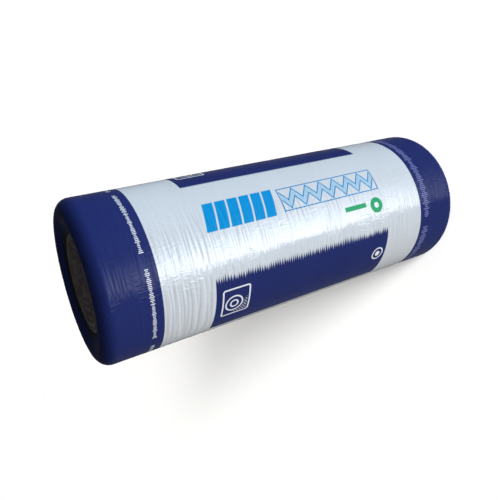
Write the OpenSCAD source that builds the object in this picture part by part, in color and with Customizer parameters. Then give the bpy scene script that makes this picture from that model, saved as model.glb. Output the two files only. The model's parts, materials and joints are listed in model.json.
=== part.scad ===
// Packed roll of mineral wool insulation: a mat wound up tight, held by a printed film sleeve
// whose collars turn in over both ends and leave a round mouth there. Stands on one end along Z,
// with the origin on the floor under its middle. Millimetres.

/* [Roll] */
// Overall length over the film
roll_len = 1200; // [800:10:1500]
// Outside diameter over the film
roll_d = 447; // [340:1:600]

/* [Film sleeve] */
// Wall of the sleeve, all layers of film together
film_t = 0.8; // [0.5:0.1:2]
// Radius of the rounded shoulder at each end
shoulder_r = 35; // [20:1:50]
// Width of the flat ring at each end, which the roll stands on
rim_w = 14; // [4:1:30]
// Width of the collar that turns in from that ring to its lip
collar_w = 31.5; // [15:0.5:60]
// How far the collar sinks from the flat ring to its lip
collar_dip = 10; // [4:1:20]

/* [Wool] */
// Thickness of one turn of the wound mat
mat_t = 20; // [10:1:40]
// Depth of the wool's end face behind the collar's lip
face_recess = 4; // [0:0.5:15]
// How far the edge of each turn is crowned
turn_crown = 3; // [1:0.5:6]
// Open gap between the lip and the outermost turn that shows
lip_gap = 10; // [4:1:20]
// Depth of that gap below the end face
gap_depth = 12; // [6:1:20]
// Diameter of the hollow eye that the mat is wound around
eye_d = 16; // [8:1:40]
// Width and depth of the flare at each end of the eye
eye_flare = 6; // [2:1:10]

/* [Hidden] */
half = roll_len / 2;
roll_r = roll_d / 2;
rim_out_r = roll_r - shoulder_r;
rim_in_r = rim_out_r - rim_w;
mouth_r = rim_in_r - collar_w;
lip_z = half - collar_dip;
collar_angle = atan2(collar_dip, collar_w);
eye_r = eye_d / 2;
face_z = lip_z - face_recess;
face_r = mouth_r - lip_gap;
flare_r = eye_r + eye_flare;
turns_shown = max(1, round((face_r - flare_r) / mat_t));
turn_w = (face_r - flare_r) / turns_shown;
shoulder_steps = 12;
crown_steps = 6;
round_fn = 180;

// Points of an arc about [r, z], from angle a to angle b
function arc_points(centre, radius, a, b, steps) =
    [for (i = [0:steps]) let (t = a + (b - a) * i / steps) centre + radius * [cos(t), sin(t)]];

function reversed(points) = [for (i = [len(points) - 1:-1:0]) points[i]];

// An end's outline followed by the same outline at the other end of the roll
function both_ends(end) = concat(end, [for (p = reversed(end)) [p[0], -p[1]]]);

// One end of the sleeve from lip to barrel, inset by some depth below its outer surface
function sleeve_end(inset) = concat(
    [
        [mouth_r, lip_z] + inset * [sin(collar_angle), -cos(collar_angle)],
        [rim_in_r + inset * tan(collar_angle / 2), half - inset]
    ],
    arc_points([rim_out_r, half - shoulder_r], shoulder_r - inset, 90, 0, shoulder_steps)
);

// The crowned edges of the turns that show, from the eye out to the gap
function turn_edges() = [
    for (n = [0:turns_shown - 1], i = [0:crown_steps])
        if (n == 0 || i > 0)
            let (u = 2 * i / crown_steps - 1)
                [flare_r + (n + (u + 1) / 2) * turn_w, face_z - turn_crown * u * u]
];

// One end of the wound mat from eye to barrel: flared eye, the turns, the gap, then what the collar covers
function wool_end() = concat(
    [[eye_r, face_z - turn_crown - eye_flare]],
    turn_edges(),
    [[face_r + lip_gap / 2, face_z - turn_crown - gap_depth]],
    sleeve_end(film_t)
);

// A profile of [radius, place along the roll] turned into a solid that stands on the floor
module turned(profile)
    translate([0, 0, half])
        rotate_extrude($fn = round_fn)
            polygon(profile);

module wool_roll()
    color("#5a4a3e")
        turned(both_ends(wool_end()));

module film_wrap()
    color("#1f2a66")
        turned(concat(both_ends(sleeve_end(0)), reversed(both_ends(sleeve_end(film_t)))));

wool_roll();
film_wrap();
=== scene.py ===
import json
import math
import random

import bmesh
import bpy
import numpy as np
from mathutils import Matrix, Quaternion, Vector, noise


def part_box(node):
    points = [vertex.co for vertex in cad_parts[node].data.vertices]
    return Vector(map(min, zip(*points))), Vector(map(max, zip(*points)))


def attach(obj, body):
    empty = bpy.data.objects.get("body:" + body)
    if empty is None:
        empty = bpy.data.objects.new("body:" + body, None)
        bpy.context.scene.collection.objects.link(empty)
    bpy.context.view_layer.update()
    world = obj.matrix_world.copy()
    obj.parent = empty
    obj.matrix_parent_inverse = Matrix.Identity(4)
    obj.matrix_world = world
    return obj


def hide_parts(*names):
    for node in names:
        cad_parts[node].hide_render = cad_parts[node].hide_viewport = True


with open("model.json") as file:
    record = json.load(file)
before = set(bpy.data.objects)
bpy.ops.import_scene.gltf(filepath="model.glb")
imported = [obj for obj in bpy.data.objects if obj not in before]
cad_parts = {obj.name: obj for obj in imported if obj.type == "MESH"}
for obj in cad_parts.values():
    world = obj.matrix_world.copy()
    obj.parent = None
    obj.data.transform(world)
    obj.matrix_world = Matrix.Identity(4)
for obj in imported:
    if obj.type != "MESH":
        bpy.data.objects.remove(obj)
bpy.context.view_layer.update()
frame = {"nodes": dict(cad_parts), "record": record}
print("frame loaded")

# The roll stands on the floor along Z. Lengths in the dictionaries are millimetres. Angles round the roll
# are degrees, clockwise from above: 90 is +X and 180 is -Y, the front. A place is measured down from the
# top end.
mm = 0.001
tiny = 0.01  # lengths no further apart than this are the same
barrelMount = next(m for m in frame["record"]["mounts"] if m["name"] == "barrel")
rollRadius = barrelMount["dims"]["r_mm"]
middle = barrelMount["pos_m"][2]
rollLength = (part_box("film_wrap")[1].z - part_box("film_wrap")[0].z) / mm
halfLength = rollLength / 2


def measureEnd():
    # radii and heights over the middle of the sleeve's lip, its flat ring, and the wool's eye and face
    film = np.array([v.co for v in frame["nodes"]["film_wrap"].data.vertices]) / mm
    wool = np.array([v.co for v in frame["nodes"]["wool_roll"].data.vertices]) / mm
    filmRadius, woolRadius = np.hypot(film[:, 0], film[:, 1]), np.hypot(wool[:, 0], wool[:, 1])
    filmHeight, woolHeight = np.abs(film[:, 2] - middle / mm), np.abs(wool[:, 2] - middle / mm)
    ring = filmRadius[filmHeight > halfLength - tiny]
    lip = np.argmin(filmRadius)
    inMouth = woolRadius < filmRadius[lip] - 1  # clear of the lip
    return {
        "lip": filmRadius[lip],
        "lipHeight": filmHeight[lip],
        "ringIn": ring.min(),
        "ringOut": ring.max(),
        "eye": woolRadius.min(),
        "face": woolHeight[inMouth].max(),
    }


end = measureEnd()


def ease(low, high, value):
    # 0 below low, 1 above high, smooth between them
    t = min(1, max(0, (value - low) / (high - low)))
    return t * t * (3 - 2 * t)


def within(low, high, soft, value):
    return ease(low - soft, low + soft, value) * (1 - ease(high - soft, high + soft, value))


def share(value):
    # from the -1 to 1 of a noise to 0 to 1
    return 0.5 + 0.5 * value


def crease(value, width):
    # 1 along the lines where a noise passes zero, and 0 away from them
    return max(0, 1 - abs(value) / width) ** 2


def roundNoise(turn, size, height):
    # noise round a circle of that size, with no seam, at a height of its own
    return noise.noise(Vector((math.sin(turn) * size, math.cos(turn) * size, height)))


def hoopNoise(place, turn, lines):
    # noise that changes every pitch along the roll and every reach round it
    return roundNoise(turn, rollRadius / lines["reach"], place / lines["pitch"] + lines["seed"])


def meshFrom(bm, name="part"):
    mesh = bpy.data.meshes.new(name)
    bm.to_mesh(mesh)
    bm.free()
    return mesh


def makeObject(name, bm):
    piece = bpy.data.objects.new(name, meshFrom(bm, name))
    bpy.context.scene.collection.objects.link(piece)
    piece.data.shade_smooth()
    return piece


def spunShell(corners, rowPitch, steps):
    # A closed outline is spun round the roll's axis, once its corners are rounded and its edges cut into
    # rows, with the pitch that rowPitch gives for their layer.
    bm = bmesh.new()
    layer = bm.verts.layers.float.new("layer")
    ring = []
    for corner in corners:
        vert = bm.verts.new((corner["radius"] * mm, 0, middle + corner["height"] * mm))
        vert[layer] = corner["layer"]
        ring.append(vert)
    for a, b in zip(ring, ring[1:] + ring[:1]):
        bm.edges.new((a, b))
    for vert, corner in zip(ring, corners):
        if "round" in corner:
            bmesh.ops.bevel(bm, geom=[vert], offset=corner["round"] * mm, segments=corner["segments"],
                            affect="VERTICES", profile=0.5, material=-1)
    for value, pitch in rowPitch.items():
        inLayer = [e for e in bm.edges if all(abs(v[layer] - value) < tiny for v in e.verts)]
        for edge in inLayer:
            cuts = round(edge.calc_length() / mm / pitch) - 1
            if cuts > 0:
                bmesh.ops.subdivide_edges(bm, edges=[edge], cuts=cuts)
    bmesh.ops.spin(bm, geom=bm.verts[:] + bm.edges[:], cent=(0, 0, 0), axis=(0, 0, 1), dvec=(0, 0, 0),
                   angle=math.tau, steps=steps, use_merge=True, use_normal_flip=False, use_duplicate=False)
    bmesh.ops.remove_doubles(bm, verts=bm.verts, dist=tiny * mm)
    bmesh.ops.recalc_face_normals(bm, faces=bm.faces)
    bm.normal_update()
    return bm, bm.verts.layers.float["layer"]


def bothEnds(corners):
    # the corners of the top end, then the same ones at the base in the opposite order
    return corners + [{**c, "height": -c["height"]} for c in reversed(corners)]


class Signal:
    # a socket, on which Python's operators add Math nodes
    def __init__(self, graph, socket):
        self.graph, self.socket = graph, socket

    def __add__(self, other):
        return self.graph.math("ADD", self, other)

    def __sub__(self, other):
        return self.graph.math("SUBTRACT", self, other)

    def __rsub__(self, other):
        return self.graph.math("SUBTRACT", other, self)

    def __mul__(self, other):
        return self.graph.math("MULTIPLY", self, other)

    def __truediv__(self, other):
        return self.graph.math("DIVIDE", self, other)

    def __mod__(self, other):
        return self.graph.math("FLOORED_MODULO", self, other)

    def __pow__(self, other):
        return self.graph.math("POWER", self, other)

    def __abs__(self):
        return self.graph.math("ABSOLUTE", self)

    __radd__ = __add__
    __rmul__ = __mul__


class Graph:
    def __init__(self, tree):
        self.tree = tree
        tree.nodes.clear()

    def add(self, kind, settings=None, values=None, out=0):
        # any node: its settings first, then its sockets' values or links; a ramp's stop is (place, colour)
        node = self.tree.nodes.new("ShaderNode" + kind)
        for key, value in (settings or {}).items():
            if key == "stops":
                elements = node.color_ramp.elements
                for element, stop in zip(list(elements), (value[0], value[-1])):
                    element.position, element.color = stop
                for place, colour in value[1:-1]:
                    elements.new(place).color = colour
            else:
                setattr(node, key, value)
        for key, value in (values or {}).items():
            if isinstance(value, Signal):
                self.tree.links.new(value.socket, node.inputs[key])
            else:
                node.inputs[key].default_value = value
        return Signal(self, node.outputs[out]) if len(node.outputs) else node

    def math(self, operation, *values):
        return self.add("Math", {"operation": operation}, dict(enumerate(values)))

    def parts(self, vector):
        first = self.add("SeparateXYZ", values={0: vector})
        return [Signal(self, socket) for socket in first.socket.node.outputs]

    def rise(self, value, edge, soft):
        # 0 below the edge, 1 above it, smooth over soft
        return self.add("MapRange", {"interpolation_type": "SMOOTHSTEP"},
                        {"Value": value, "From Min": edge - soft / 2, "From Max": edge + soft / 2})

    def span(self, value, low, high, soft):
        return self.rise(value, low, soft) * (1 - self.rise(value, high, soft))

    def line(self, distance, thickness, soft):
        return 1 - self.rise(abs(distance), thickness / 2, soft)

    def larger(self, *values):
        top = values[0]
        for value in values[1:]:
            top = self.math("MAXIMUM", top, value)
        return top

    def mix(self, factor, a, b):
        return self.add("Mix", {"data_type": "RGBA"}, {0: factor, 6: a, 7: b}, out=2)

    def grain(self, vector, sizes, detail=2.0, rough=0.5):
        # noise with a feature size in millimetres along each axis
        scale = [1 / (size * mm) for size in sizes]
        moved = self.add("Mapping", values={"Vector": vector, "Scale": scale})
        return self.cloud(moved, detail, rough)

    def cloud(self, vector, detail, rough):
        values = {"Vector": vector, "Scale": 1.0, "Detail": detail, "Roughness": rough}
        return self.add("TexNoise", values=values)

    def bump(self, height, distance, normal=None):
        values = {"Height": height, "Strength": 1.0, "Distance": distance * mm}
        if normal:
            values["Normal"] = normal
        return self.add("Bump", values=values)


def newMaterial(name):
    material = bpy.data.materials.new(name)
    material.use_nodes = True
    return material, Graph(material.node_tree)


def finishSurface(graph, values):
    shader = graph.add("BsdfPrincipled", values=values)
    graph.add("OutputMaterial", values={"Surface": shader})


def shade(colour, factor):
    return tuple(c * factor for c in colour[:3]) + (1,)


print("tools ready")

filmSleeve = {
    "lipThickness": 0.8,
    "innerDepth": 3.4,  # the plain inside wall lies this deep, below every wrinkle
    "innerSpread": 4,
    "steps": 140,
    "rowPitch": 2.1,
    "innerRowPitch": 60,
    "ringRound": 9,  # rounding between the flat ring and the collar
    "ringSegments": 4,
    "shoulderSegments": 20,
    "innerSegments": 8,
    "swell": {"depth": 1.1, "pitch": 170, "reach": 150, "seed": 3.1},
    "ridges": {"depth": 0.95, "pitch": 8.0, "reach": 150, "width": 0.45, "seed": 11.7},
    "fineRidges": {"depth": 0.50, "pitch": 4.8, "reach": 80, "width": 0.6, "seed": 27.3},
    "ridgeZone": (158, 206, 14),  # the ridges are deepest between these angles
    "slackness": 0.22,  # how deep the ridges are elsewhere
    "patches": {"least": 0.45, "from": -0.25, "to": 0.35, "pitch": 60, "reach": 110, "seed": 71.0},
    "folds": {"depth": 1.2, "pitch": 11, "reach": 240, "width": 0.5, "seed": 41.9},
    "foldWander": {"depth": 4, "pitch": 90, "reach": 80, "seed": 13.0},
    # where the broad folds lie: from and to along the roll, from and to round it, strength
    "foldZones": [(152, 300, 190, 262, 1.0), (900, 1032, 20, 90, 0.8), (300, 720, 266, 292, 0.7),
                  (170, 290, 50, 90, 0.7), (720, 1030, 292, 330, 0.8)],
    "foldZoneSoft": (10, 9),  # millimetres along the roll, degrees round it
    "smoothEnds": (24, 16),  # no wrinkles this near an end, and how softly they start
    "pleats": {"depth": 1.6, "count": 30, "width": 0.6, "outside": 6, "seed": 5.3},
    "lipWander": {"depth": 1.6, "reach": 14, "waves": 2.2, "seed": 10.6},
}


def filmRelief(place, turn, sleeve):
    # how far the film lies inside its outermost surface
    angle = math.degrees(turn) % 360
    swell, folds, patches = sleeve["swell"], sleeve["folds"], sleeve["patches"]
    low, high, soft = sleeve["ridgeZone"]
    patchy = ease(patches["from"], patches["to"], hoopNoise(place, turn, patches))
    patchy = patches["least"] + (1 - patches["least"]) * patchy
    tight = (sleeve["slackness"] + (1 - sleeve["slackness"]) * within(low, high, soft, angle)) * patchy
    depth = swell["depth"] * share(hoopNoise(place, turn, swell))
    for lines in (sleeve["ridges"], sleeve["fineRidges"]):
        depth += lines["depth"] * tight * crease(hoopNoise(place, turn, lines), lines["width"])
    softPlace, softAngle = sleeve["foldZoneSoft"]
    zone = 0
    for fromPlace, toPlace, fromAngle, toAngle, strength in sleeve["foldZones"]:
        inside = within(fromPlace, toPlace, softPlace, place) * within(fromAngle, toAngle, softAngle, angle)
        zone = max(zone, strength * inside)
    if zone > 0:
        wander = sleeve["foldWander"]["depth"] * hoopNoise(place, turn, sleeve["foldWander"])
        depth += folds["depth"] * zone * crease(hoopNoise(place + wander, turn, folds), folds["width"])
    free, start = sleeve["smoothEnds"]
    return depth * within(free, rollLength - free, start, place)


def sleeveOutline(sleeve):
    slope = math.atan2(halfLength - end["lipHeight"], end["ringIn"] - end["lip"])
    thin, deep = sleeve["lipThickness"], sleeve["innerDepth"]
    shoulder = rollRadius - end["ringOut"]
    outer = [
        {"height": end["lipHeight"], "radius": end["lip"], "layer": 1},
        {"height": halfLength, "radius": end["ringIn"], "layer": 1, "round": sleeve["ringRound"],
         "segments": sleeve["ringSegments"]},
        {"height": halfLength, "radius": rollRadius, "layer": 1, "round": shoulder,
         "segments": sleeve["shoulderSegments"]},
    ]
    inner = [
        {"height": end["lipHeight"] - thin * math.cos(slope), "radius": end["lip"] + thin * math.sin(slope),
         "layer": 0},
        {"height": halfLength - deep, "radius": end["ringIn"] + sleeve["innerSpread"], "layer": 0},
        {"height": halfLength - deep, "radius": rollRadius - deep, "layer": 0, "round": shoulder - deep,
         "segments": sleeve["innerSegments"]},
    ]
    return bothEnds(outer) + bothEnds(inner)[::-1]


def makeFilmSleeve(sleeve):
    pitches = {1: sleeve["rowPitch"], 0: sleeve["innerRowPitch"]}
    bm, layer = spunShell(sleeveOutline(sleeve), pitches, sleeve["steps"])
    pleats, lip = sleeve["pleats"], sleeve["lipWander"]
    shifts = []
    for vert in bm.verts:
        turn = math.atan2(vert.co.x, vert.co.y)
        height = (vert.co.z - middle) / mm
        radius = math.hypot(vert.co.x, vert.co.y) / mm
        side = math.copysign(1, height)
        outward = Vector((math.sin(turn), math.cos(turn), 0))
        gather = 1 - ease(end["lip"], rollRadius - pleats["outside"], radius)
        nearLip = 1 - ease(end["lip"], end["lip"] + lip["reach"], radius)
        folded = crease(roundNoise(turn, pleats["count"] / math.pi, pleats["seed"] + side), pleats["width"])
        wander = roundNoise(turn, lip["waves"], lip["seed"] + side)
        shift = outward * (lip["depth"] * nearLip * wander * mm)
        shift.z -= side * pleats["depth"] * gather * folded * mm
        if vert[layer] > 0.5:  # on the outside
            shift -= vert.normal * filmRelief(halfLength - height, turn, sleeve) * mm
        shifts.append(shift)
    for vert, shift in zip(bm.verts, shifts):
        vert.co += shift
    return makeObject("filmSleeve", bm)


# The print: navy bands at the ends, navy panels between them and plain marks. Its turns are degrees from
# turnStart, and all but the ticks repeat three times round the roll.
filmPrint = {
    "bandTop": 151.8,
    "panelFrom": 292.7,
    "panelTo": 891.6,
    "bandBase": 1034.9,
    "repeat": 120,
    "turnStart": 75.5,
    "panelTurn": (6, 54),
    "panelBlur": 1.8,
    # wrinkles push the print about near the panel's first edge; the depth, blur and zone are degrees
    "jag": {"pitch": 7.2, "uneven": 2.0, "depth": 3.2, "blur": 4.2, "zone": (-1, 16, 8), "fine": 1.6,
            "broadGrain": (400, 400, 30), "fineGrain": (400, 400, 4)},
    "barTurn": 84,
    "blocks": {"from": 305, "to": 520, "count": 6, "slit": 0.15, "slitEdge": 0.04, "lean": 0.2,
               "height": 80},
    "wave": {"from": 540, "to": 880, "across": 68, "period": 48.57, "height": 17, "half": 7.5,
             "thickness": 3.2, "frame": 3.0},
    "greenBar": {"from": 735, "to": 815, "turn": 103, "height": 14},
    "greenRing": {"place": 855, "turn": 105, "radius": 16, "thickness": 15},
    "sign": {"place": 353.5, "turn": 27, "halfWidth": 40, "halfHeight": 45, "corner": 6, "thickness": 4.4,
             "rings": (25, 11), "ringsAt": (-6, -4)},
    "hatch": {"pitch": 9, "slant": 0.8, "width": 0.45, "edge": 0.25, "cut": 0.9, "from": 26, "margin": 6,
              "clear": 31},
    "disc": {"place": 859, "turn": 26, "radius": 20, "thickness": 4.4, "dot": 9},
    "ticksTop": {"place": 126.1, "width": 13, "repeat": 60, "start": 61.5, "shown": 50.5, "pitch": 1.15},
    "ticksBase": {"place": 1062, "width": 32, "repeat": 120, "start": 89.5, "shown": 112, "pitch": 1.6},
    "tick": {"least": 0.35, "width": 0.5, "edge": 0.3, "blur": 0.5},
    "edge": 1.6,  # softness of a printed edge
    "navy": (0.0140, 0.0225, 0.115, 1),
    "white": (0.76, 0.80, 0.85, 1),
    "cyan": (0.0, 0.26, 0.60, 1),
    "paleCyan": (0.46, 0.66, 0.82, 1),
    "green": (0.006, 0.34, 0.13, 1),
    "markWhite": (0.78, 0.80, 0.84, 1),
    "fadedMark": (0.17, 0.19, 0.42, 1),
}


def fromSpot(g, across, above):
    # distance from a spot, from its two parts
    return g.math("SQRT", across ** 2 + above ** 2)


def barMasks(g, place, up, layout):
    # the bar of blocks and, beyond it, the framed wave; up is measured round the roll
    soft, blocks, wave = layout["edge"], layout["blocks"], layout["wave"]
    period = (blocks["to"] - blocks["from"]) / blocks["count"]
    leaning = place - up * blocks["lean"]
    stripe = ((leaning - blocks["from"]) / period) % 1
    slit = blocks["slit"] / 2
    inBar = g.span(leaning, blocks["from"], blocks["to"], soft) * g.line(up, blocks["height"], soft)

    centre, half = (wave["from"] + wave["to"]) / 2, (wave["to"] - wave["from"]) / 2
    toFrame = g.larger(abs(place - centre) - half, abs(up) - wave["across"] / 2)
    inFrame = 1 - g.rise(toFrame, -wave["frame"], soft)
    zigzag = (abs(((place - wave["from"]) / wave["period"]) % 1 - 0.5) * 4 - 1) * wave["height"]
    fromWave = abs(up - zigzag) / math.hypot(1, 4 * wave["height"] / wave["period"])
    outline = g.line(fromWave - wave["half"], wave["thickness"], soft) * inFrame
    return {
        "blocks": inBar * g.span(stripe, slit, 1 - slit, blocks["slitEdge"]),
        "outline": g.larger(outline, g.line(toFrame, wave["frame"], soft)),
        "paleCyan": g.line(fromWave, 2 * wave["half"], soft) * inFrame,
    }


def signMask(g, across, above, layout):
    # a rounded square round two rings, with a hatched corner
    soft, sign, hatch = layout["edge"], layout["sign"], layout["hatch"]
    cornerX = g.larger(abs(across) - (sign["halfWidth"] - sign["corner"]), 0)
    cornerY = g.larger(abs(above) - (sign["halfHeight"] - sign["corner"]), 0)
    toSign = fromSpot(g, cornerX, cornerY) - sign["corner"]
    ringX, ringY = sign["ringsAt"]
    fromRings = fromSpot(g, across - ringX, above - ringY)
    rings = g.larger(*(g.line(fromRings - radius, sign["thickness"], soft) for radius in sign["rings"]))
    slanted = ((across + above * hatch["slant"]) / hatch["pitch"]) % 1 - 0.5
    inCorner = g.rise(across - above * hatch["cut"], hatch["from"], soft)
    inSign = 1 - g.rise(toSign, -hatch["margin"], soft)
    hatched = g.line(slanted, hatch["width"], hatch["edge"]) * inCorner * inSign
    hatched = hatched * g.rise(fromRings, hatch["clear"], soft)
    return g.larger(g.line(toSign, sign["thickness"], soft), rings, hatched)


def tickMask(g, place, angle, ticks, layout):
    # a row of short lines of unequal length
    tick = layout["tick"]
    onRow = (angle + (720 - ticks["start"])) % ticks["repeat"]
    count = onRow / ticks["pitch"]
    chance = g.add("TexWhiteNoise", {"noise_dimensions": "1D"}, {"W": g.math("FLOOR", count)})
    size = ticks["width"] * (tick["least"] + chance * (1 - tick["least"]))
    line = g.line(count % 1 - 0.5, tick["width"], tick["edge"])
    inTick = 1 - g.rise(abs(place - ticks["place"]) - size / 2, 0, layout["edge"])
    return line * inTick * (1 - g.rise(onRow, ticks["shown"], tick["blur"]))


def printMasks(g, point, layout):
    # every printed area as a mask from 0 to 1
    x, y, z = g.parts(point)
    soft = layout["edge"]
    degree = math.radians(1) * rollRadius
    place = rollLength - z / mm
    angle = g.math("ARCTAN2", x, y) * math.degrees(1)
    turn = (angle + (360 - layout["turnStart"])) % layout["repeat"]

    jag = layout["jag"]
    uneven = g.grain(point, jag["broadGrain"], detail=1)
    spikes = abs((place / jag["pitch"] + uneven * jag["uneven"]) % 1 - 0.5) * 2
    fine = (g.grain(point, jag["fineGrain"]) - 0.5) * jag["fine"]
    jagged = (spikes * (uneven * 2) - 0.5 + fine) * jag["depth"] * g.span(turn, *jag["zone"])
    low, high = layout["panelTurn"]
    panelTurn = g.rise(turn + jagged, low, jag["blur"]) * (1 - g.rise(turn, high, layout["panelBlur"]))
    panel = g.span(place, layout["panelFrom"], layout["panelTo"], soft) * panelTurn
    bands = 1 - g.span(place, layout["bandTop"], layout["bandBase"], soft)

    bar, ring, sign, disc = (layout[name] for name in ("greenBar", "greenRing", "sign", "disc"))
    inBar = g.span(place, bar["from"], bar["to"], soft)
    barMark = inBar * g.line((turn - bar["turn"]) * degree, bar["height"], soft)
    fromRing = fromSpot(g, place - ring["place"], (turn - ring["turn"]) * degree) - ring["radius"]
    fromDisc = fromSpot(g, place - disc["place"], (turn - disc["turn"]) * degree)
    discRing = g.line(fromDisc - disc["radius"], disc["thickness"], soft)
    discMark = g.larger(discRing, 1 - g.rise(fromDisc, disc["dot"], soft))
    signMark = signMask(g, place - sign["place"], (turn - sign["turn"]) * -degree, layout)
    return {
        "navy": g.larger(bands, panel),
        **barMasks(g, place, (turn - layout["barTurn"]) * -degree, layout),
        "green": g.larger(barMark, g.line(fromRing, ring["thickness"], soft)),
        "faded": tickMask(g, place, angle, layout["ticksBase"], layout),
        "marks": g.larger(signMark, discMark, tickMask(g, place, angle, layout["ticksTop"], layout)),
    }


# Grain sizes are millimetres along X, Y and Z; a bump's last value is its depth.
filmGloss = {
    "cloud": (110, 110, 110),
    "cloudShade": 0.9,
    "navyCloud": 1.25,
    "metal": 0.20,  # bare film alone; ink has none
    "rough": (0.09, 0.07),  # the least, and what the cloud adds
    "ior": 1.42,
    "specular": 0.4,
    "fineHoops": ((90, 90, 4.6), 0.32),
    "crinkles": ((11, 11, 60), 0.24),
    "fineRough": 0.6,
    # short creases that lie across the hoops, in patches; both edges are a place and a softness
    "creases": ((6, 6, 26), 0.5),
    "creaseEdge": (0.62, 0.4),
    "creasePatches": (90, 90, 90),
    "patchEdge": (0.5, 0.2),
}


def filmMaterial(layout, gloss):
    material, g = newMaterial("printedFilm")
    point = g.add("TexCoord", out="Object")
    masks = printMasks(g, point, layout)
    cloud = g.grain(point, gloss["cloud"], detail=3)
    colour = g.mix(cloud, layout["white"], shade(layout["white"], gloss["cloudShade"]))
    navy = g.mix(cloud, layout["navy"], shade(layout["navy"], gloss["navyCloud"]))
    colour = g.mix(masks["paleCyan"], colour, layout["paleCyan"])
    colour = g.mix(g.larger(masks["blocks"], masks["outline"]), colour, layout["cyan"])
    colour = g.mix(masks["green"], colour, layout["green"])
    colour = g.mix(masks["navy"], colour, navy)
    colour = g.mix(masks["faded"], colour, layout["fadedMark"])
    colour = g.mix(masks["marks"], colour, layout["markWhite"])
    ink = g.larger(masks["navy"], masks["blocks"], masks["green"])
    normal = None
    for name in ("fineHoops", "crinkles"):
        sizes, depth = gloss[name]
        normal = g.bump(g.grain(point, sizes, rough=gloss["fineRough"]), depth, normal)
    sizes, depth = gloss["creases"]
    inPatch = g.rise(g.grain(point, gloss["creasePatches"]), *gloss["patchEdge"])
    creases = g.rise(g.grain(point, sizes, detail=1), *gloss["creaseEdge"]) * inPatch
    least, added = gloss["rough"]
    finishSurface(g, {
        "Base Color": colour,
        "Metallic": gloss["metal"] - ink * gloss["metal"],
        "Roughness": least + cloud * added,
        "IOR": gloss["ior"],
        "Specular IOR Level": gloss["specular"],
        "Normal": g.bump(creases, depth, normal),
    })
    return material


woolMat = {
    "steps": 180,
    "facePitch": 1.5,
    "backPitch": 50,
    "clearance": 0.8,  # from the sleeve's plain inside wall
    "turnPitch": 19.8,
    "crown": 2.6,
    "gap": 2.6,  # extra depth of the line between two turns
    "gapWidth": 0.10,
    "wander": {"depth": 2.4, "waves": 1.7, "reach": 45},
    "uneven": {"depth": 1.7, "reach": 34, "apart": 7},  # apart keeps the noise of the two ends different
    "layers": {"depth": 0.7, "across": 6, "round": 8, "reach": 5, "apart": 5},
    "seed": 8.0,
    "flare": 6,  # the eye widens this much at the face
    "eyeStep": 1,
    "lipGap": 10,
    "gapDepth": 12,
    "gapShare": 0.6,  # how far the bottom of the gap lies towards the lip
    "underLip": (2, 2.2),  # outside and below the lip
    "underRing": 5,
    "eyeRound": {"round": 3, "segments": 3},
    "faceRound": {"round": 4, "segments": 4},
    "gapRound": {"round": 2, "segments": 3},
    "shoulderSegments": 6,
    "dark": (0.060, 0.047, 0.048, 1),
    "mid": (0.158, 0.129, 0.132, 1),
    "light": (0.36, 0.295, 0.285, 1),
    "hollow": (0.006, 0.006, 0.008, 1),  # painted shade: near-black put on the wool in the gap behind the sleeve's lip and in the eye, where shade falls
    "stops": (0.36, 0.52, 0.70),  # tones that are dark, mid and light
    "strands": {"across": 1.1, "round": 5.0, "along": 6, "detail": 4.0, "rough": 0.7, "bump": 1.4},
    "clumps": {"size": 7, "detail": 4, "rough": 0.65, "bump": 2.0},
    "patches": 45,
    "shares": (0.55, 0.35, 0.1),  # of strands, clumps and patches in the tone
    "gapShadeEdge": (4, 2),  # where the painted gap shade starts: millimetres past the end of the face, softness
    "eyeShadeEdge": (2, 4),
}


def spiralTurn(radius, turn, wool):
    # place across the wound mat: 0 and 1 are its two faces
    wander = wool["wander"]
    shift = wander["depth"] * roundNoise(turn, wander["waves"], radius / wander["reach"] + wool["seed"])
    return ((radius + shift - end["eye"]) / wool["turnPitch"] - turn / math.tau) % 1


def woolRelief(radius, turn, side, wool):
    # how far the end of the mat lies behind its highest place
    u = spiralTurn(radius, turn, wool)
    spot = Vector((math.sin(turn) * radius, math.cos(turn) * radius, 0))
    top, seed = Vector((0, 0, side)), Vector((0, 0, wool["seed"]))
    uneven, layers = wool["uneven"], wool["layers"]
    alongLayer = Vector((u * layers["across"], math.cos(turn) * layers["round"],
                         math.sin(turn) * layers["round"] + side))
    depth = wool["crown"] * (2 * u - 1) ** 2
    depth += wool["gap"] * max(0, 1 - min(u, 1 - u) / wool["gapWidth"])
    depth += uneven["depth"] * share(noise.noise(spot / uneven["reach"] + top * uneven["apart"] + seed))
    depth += layers["depth"] * share(noise.noise(alongLayer))
    return depth + layers["depth"] * abs(noise.noise(spot / layers["reach"] + top * layers["apart"]))


def woolOutline(wool):
    deep = filmSleeve["innerDepth"] + wool["clearance"]
    face, eye, lip, flare, gap = end["face"], end["eye"], end["lip"], wool["flare"], wool["lipGap"]
    outside, below = wool["underLip"]
    shoulder = rollRadius - end["ringOut"]
    return bothEnds([
        {"height": face - flare * 2, "radius": eye, "layer": 0},
        {"height": face - flare, "radius": eye + wool["eyeStep"], "layer": 1},
        {"height": face, "radius": eye + flare, "layer": 1, **wool["eyeRound"]},
        {"height": face, "radius": lip - gap, "layer": 1, **wool["faceRound"]},
        {"height": face - wool["gapDepth"], "radius": lip - gap + gap * wool["gapShare"], "layer": 1,
         **wool["gapRound"]},
        {"height": end["lipHeight"] - below, "radius": lip + outside, "layer": 0},
        {"height": halfLength - deep, "radius": end["ringIn"] + wool["underRing"], "layer": 0},
        {"height": halfLength - deep, "radius": rollRadius - deep, "layer": 0, "round": shoulder - deep,
         "segments": wool["shoulderSegments"]},
    ])


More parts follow.
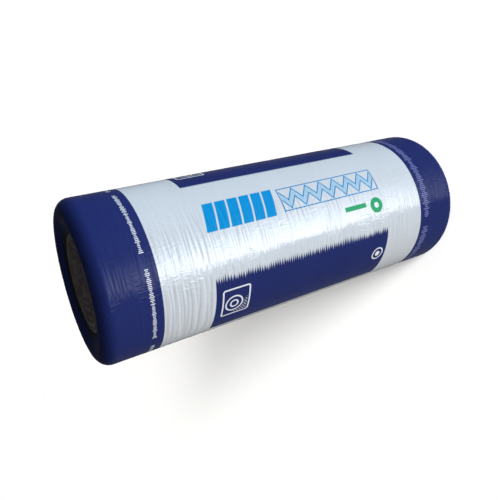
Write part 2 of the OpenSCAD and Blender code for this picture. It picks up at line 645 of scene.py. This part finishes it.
def makeWoolMat(wool):
    bm, layer = spunShell(woolOutline(wool), {1: wool["facePitch"], 0: wool["backPitch"]}, wool["steps"])
    for vert in bm.verts:
        if vert[layer] > 0.5:
            side = math.copysign(1, vert.co.z - middle)
            radius = math.hypot(vert.co.x, vert.co.y) / mm
            vert.co.z -= side * woolRelief(radius, math.atan2(vert.co.x, vert.co.y), side, wool) * mm
    return makeObject("woolMat", bm)


def woolMaterial(wool):
    material, g = newMaterial("mineralWool")
    point = g.add("TexCoord", out="Object")
    x, y, z = g.parts(point)
    radius = g.math("SQRT", x ** 2 + y ** 2)
    # strands run along the wound layers: fine across them, long round them
    thread, clump = wool["strands"], wool["clumps"]
    layered = g.add("CombineXYZ", values={
        0: radius / (thread["across"] * mm),
        1: g.math("ARCTAN2", x, y) * thread["round"],
        2: z / (thread["along"] * mm),
    })
    strands = g.cloud(layered, thread["detail"], thread["rough"])
    clumps = g.grain(point, (clump["size"],) * 3, clump["detail"], clump["rough"])
    patches = g.grain(point, (wool["patches"],) * 3)
    ofStrands, ofClumps, ofPatches = wool["shares"]
    tone = strands * ofStrands + clumps * ofClumps + patches * ofPatches
    stops = list(zip(wool["stops"], (wool["dark"], wool["mid"], wool["light"])))
    # painted shade: the wool's colour goes near-black in the gap behind the sleeve's lip and in the eye,
    # standing in for the shade there
    past, soft = wool["gapShadeEdge"]
    gapShade = g.rise(radius, (end["lip"] - wool["lipGap"] + past) * mm, soft * mm)
    past, soft = wool["eyeShadeEdge"]
    eyeShade = 1 - g.rise(radius, (end["eye"] + past) * mm, soft * mm)
    colour = g.add("ValToRGB", {"stops": stops}, {0: tone})
    finishSurface(g, {
        "Base Color": g.mix(g.larger(gapShade, eyeShade), colour, wool["hollow"]),
        "Roughness": 0.95,
        "Specular IOR Level": 0.2,
        "Sheen Weight": 0.25,
        "Sheen Roughness": 0.6,
        "Normal": g.bump(strands, thread["bump"], g.bump(clumps, clump["bump"])),
    })
    return material


woolFibres = {
    "tufts": 4,  # different ones, laid in turn
    "patches": 70,  # on each end
    "perPatch": 44,
    "patchRadius": 19,
    "patchDepth": 1.2,
    "patchInset": 0.9,  # a patch keeps this share of its radius inside the edge of the face
    "turnStep": 137.5,  # degrees from one patch to the next, which spreads them evenly
    "length": (7, 20),
    "thickness": (0.10, 0.22),
    "taper": 0.4,
    "bend": 0.22,
    "rise": (-0.05, 0.32),  # how far a fibre stands up from the face, in radians
    "seed": 21,
    "colour": (0.20, 0.165, 0.15, 1),
    "darkest": 0.45,  # the darkest fibres' share of that colour
    "tone": (12, 12, 12),
}


def makeFibre(fibres, draw):
    # one curved, tapered, three-sided fibre that lies across Z
    bm = bmesh.new()
    length = draw.uniform(*fibres["length"]) * mm
    thick = draw.uniform(*fibres["thickness"]) * mm
    bmesh.ops.create_cone(bm, cap_ends=True, segments=3, radius1=thick, radius2=thick * fibres["taper"],
                          depth=length)
    longEdges = [e for e in bm.edges if e.calc_length() > length / 2]
    bmesh.ops.subdivide_edges(bm, edges=longEdges, cuts=2)
    bend = draw.uniform(-1, 1) * fibres["bend"] / length
    for vert in bm.verts:
        vert.co.y += bend * vert.co.z ** 2
    spot = fibres["patchRadius"] * mm * math.sqrt(draw.random())
    turn, lie = draw.uniform(0, math.tau), draw.uniform(0, math.tau)
    height = draw.uniform(0, fibres["patchDepth"]) * mm
    place = Matrix.Translation((spot * math.cos(turn), spot * math.sin(turn), height))
    lean = math.pi / 2 - draw.uniform(*fibres["rise"])
    tilt = Matrix.Rotation(lie, 4, "Z") @ Matrix.Rotation(lean, 4, "Y")
    bmesh.ops.transform(bm, matrix=place @ tilt, verts=bm.verts)
    bmesh.ops.recalc_face_normals(bm, faces=bm.faces)
    return meshFrom(bm)


def makeFibrePatch(fibres, draw):
    # a round tuft of fibres
    bm = bmesh.new()
    for _ in range(fibres["perPatch"]):
        fibre = makeFibre(fibres, draw)
        bm.from_mesh(fibre)
        bpy.data.meshes.remove(fibre)
    return meshFrom(bm)


def makeWoolFibres(fibres, wool):
    draw = random.Random(fibres["seed"])
    patches = [makeFibrePatch(fibres, draw) for _ in range(fibres["tufts"])]
    bm = bmesh.new()
    widest = end["lip"] - wool["lipGap"] - fibres["patchRadius"] * fibres["patchInset"]
    for side in (-1, 1):
        for n in range(fibres["patches"]):
            radius = end["eye"] + (widest - end["eye"]) * math.sqrt((n + 0.5) / fibres["patches"])
            turn = n * math.radians(fibres["turnStep"])
            before = len(bm.verts)
            bm.from_mesh(patches[n % len(patches)])
            face = side * (end["face"] - woolRelief(radius, turn, side, wool)) * mm
            spot = Vector((math.sin(turn) * radius * mm, math.cos(turn) * radius * mm, middle + face))
            place = Matrix.Translation(spot)
            flip = Matrix.Rotation(0 if side > 0 else math.pi, 4, "X")
            spin = Matrix.Rotation(draw.uniform(0, math.tau), 4, "Z")
            bmesh.ops.transform(bm, matrix=place @ flip @ spin, verts=bm.verts[:][before:])
    for mesh in patches:
        bpy.data.meshes.remove(mesh)
    return makeObject("woolFibres", bm)


def fibreMaterial(fibres):
    material, g = newMaterial("looseFibres")
    tone = g.grain(g.add("TexCoord", out="Object"), fibres["tone"])
    colour = g.mix(tone, shade(fibres["colour"], fibres["darkest"]), fibres["colour"])
    finishSurface(g, {"Base Color": colour, "Roughness": 0.8, "Specular IOR Level": 0.25})
    return material


# The camera is rolled over on its side, so that the standing roll looks as if it lay down.
camera = {
    "place": (0, -1.344, 1.398),
    "turn": -1.481,  # how far it looks to the right of +Y
    "down": 28.101,
    "roll": 105.79,  # clockwise
    "lens": 35.78,
    "sensor": 36,
    "clip": (0.05, 100),
}

# The world alone lights the roll. Its up is the camera's up, which is a direction round the roll. An edge
# is the middle of a change and how wide the change is.
studio = {
    "up": (0.870, -0.492, 0),
    "belowEdge": (-0.12, 0.8),  # above this on Z, past the roll's top end, the world is dark
    "bandTowards": (-0.433, -0.766, -0.475),
    "bandSides": (0.62, 0.4),
    "bandFrom": (0.115, 0.02),  # the edge, up in the world, where the reflected bright band begins
    "bandDrop": (0.45, 0.55),  # nearer the top end than this, it begins lower by this slope
    "bandFar": (0.72, 0.12, 0.8),  # nearer the base than this edge, it is weaker by this share
    "bandFade": (0.525, 0.65),
    "bandStrength": 2.6,
    "reflectLow": 0.08,
    "reflectHigh": 0.012,
    "reflectEdge": (0.2, 0.5),
    "reflectTop": 0.01,  # reflected above the roll's top end
    "diffuse": 1.66,
    "diffuseTop": 0.14,
    "diffuseFrom": (0.47, -0.88, 0),
    "diffuseLean": 0.92,  # how much brighter the light from that side is
    "diffuseBehind": (2.2, (0.72, 0.5)),  # light added from +Y, behind the roll, and its edge
    "lowTint": (1.0, 0.99, 0.97, 1),
    "highTint": (0.71, 0.86, 1.0, 1),
    "tintEdge": (0.55, 1.0),
    "floorSize": 60,
    "floorColour": (0.86, 0.855, 0.84, 1),
    # each lights the floor alone: its strength, where it comes from, its width in degrees, its colour
    "floorLamps": {
        "floorKey": (12.4, (0.235, -1.0, 0.27), 27, (1.0, 1.0, 1.0)),
        "floorSide": (0.6, (0.90, -0.70, 0.8), 60, (1.0, 0.97, 0.92)),
    },
}


def makeCamera(setup):
    data = bpy.data.cameras.new("camera")
    data.lens, data.sensor_width = setup["lens"], setup["sensor"]
    data.clip_start, data.clip_end = setup["clip"]
    eye = bpy.data.objects.new("camera", data)
    turn, down = math.radians(setup["turn"]), math.radians(setup["down"])
    forward = Vector((math.sin(turn) * math.cos(down), math.cos(turn) * math.cos(down), -math.sin(down)))
    roll = Quaternion((0, 0, 1), -math.radians(setup["roll"]))
    eye.location = setup["place"]
    eye.rotation_mode = "QUATERNION"
    eye.rotation_quaternion = forward.to_track_quat("-Z", "Y") @ roll
    bpy.context.scene.collection.objects.link(eye)
    bpy.context.scene.camera = eye


def makeFloor(setup):
    # the floor has lamps of its own, and neither lights the roll nor shows in its gloss
    bm = bmesh.new()
    bmesh.ops.create_grid(bm, x_segments=1, y_segments=1, size=setup["floorSize"] / 2)
    floor = makeObject("floor", bm)
    material, g = newMaterial("floor")
    finishSurface(g, {"Base Color": setup["floorColour"], "Roughness": 0.9, "Specular IOR Level": 0.1})
    floor.data.materials.append(material)
    floor.visible_glossy = False
    floor.visible_diffuse = False
    floor.visible_shadow = False
    lit = bpy.data.collections.new("floorOnly")
    lit.objects.link(floor)
    for name, (strength, source, width, colour) in setup["floorLamps"].items():
        data = bpy.data.lights.new(name, "SUN")
        data.energy, data.angle, data.color = strength, math.radians(width), colour
        lamp = bpy.data.objects.new(name, data)
        lamp.rotation_mode = "QUATERNION"
        lamp.rotation_quaternion = Vector(source).to_track_quat("Z", "Y")
        lamp.light_linking.receiver_collection = lit
        bpy.context.scene.collection.objects.link(lamp)


def along(parts, direction):
    # how far a direction's three parts lie along another direction
    x, y, z = parts
    return x * direction[0] + y * direction[1] + z * direction[2]


def bandLight(g, parts, height, setup):
    # the bright band that the film reflects
    down = parts[2] * -1
    fromDown, slope = setup["bandDrop"]
    overEdge = height - g.math("MINIMUM", down - fromDown, 0) * slope
    farFrom, farSoft, farLess = setup["bandFar"]
    strength = (1 - g.rise(down, farFrom, farSoft) * farLess) * setup["bandStrength"]
    fade = 1 - g.rise(height, *setup["bandFade"])
    sides = g.rise(along(parts, setup["bandTowards"]), *setup["bandSides"])
    return g.rise(overEdge, *setup["bandFrom"]) * fade * sides * strength


def makeWorld(setup):
    world = bpy.data.worlds.new("studio")
    world.use_nodes = True
    g = Graph(world.node_tree)
    parts = g.parts(g.add("TexCoord", out="Generated"))
    height = along(parts, setup["up"])
    below = 1 - g.rise(parts[2], *setup["belowEdge"])
    low, high = setup["reflectLow"], setup["reflectHigh"]
    plainGloss = low + g.rise(height, *setup["reflectEdge"]) * (high - low)
    gloss = setup["reflectTop"] + (plainGloss + bandLight(g, parts, height, setup)) * below
    lean = along(parts, setup["diffuseFrom"]) * setup["diffuseLean"]
    fill, fillEdge = setup["diffuseBehind"]
    behind = g.rise(parts[1], *fillEdge) * fill
    soft = setup["diffuseTop"] + ((1 + lean) * setup["diffuse"] + behind) * below
    tint = g.mix(g.rise(height, *setup["tintEdge"]), setup["lowTint"], setup["highTint"])
    isGloss = g.add("LightPath", out="Is Glossy Ray")
    isSeen = g.add("LightPath", out="Is Camera Ray")
    glow = g.add("Background", values={"Color": tint, "Strength": soft + isGloss * (gloss - soft)})
    plain = g.add("Background", values={"Color": (1, 1, 1, 1), "Strength": 1.0})
    g.add("OutputWorld", values={"Surface": g.add("MixShader", values={0: isSeen, 1: glow, 2: plain})})
    bpy.context.scene.world = world


makeCamera(camera)
makeFloor(studio)
makeWorld(studio)
bpy.context.scene.view_settings.view_transform = "Standard"
print("studio ready")

sleevePiece = makeFilmSleeve(filmSleeve)
sleevePiece.data.materials.append(filmMaterial(filmPrint, filmGloss))
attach(sleevePiece, "root")
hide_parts("film_wrap")
print("film sleeve made,", len(sleevePiece.data.polygons), "faces")

woolPiece = makeWoolMat(woolMat)
woolPiece.data.materials.append(woolMaterial(woolMat))
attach(woolPiece, "root")
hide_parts("wool_roll")
print("wool mat made,", len(woolPiece.data.polygons), "faces")

fibrePiece = makeWoolFibres(woolFibres, woolMat)
fibrePiece.data.materials.append(fibreMaterial(woolFibres))
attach(fibrePiece, "root")
print("loose fibres made,", len(fibrePiece.data.polygons), "faces")
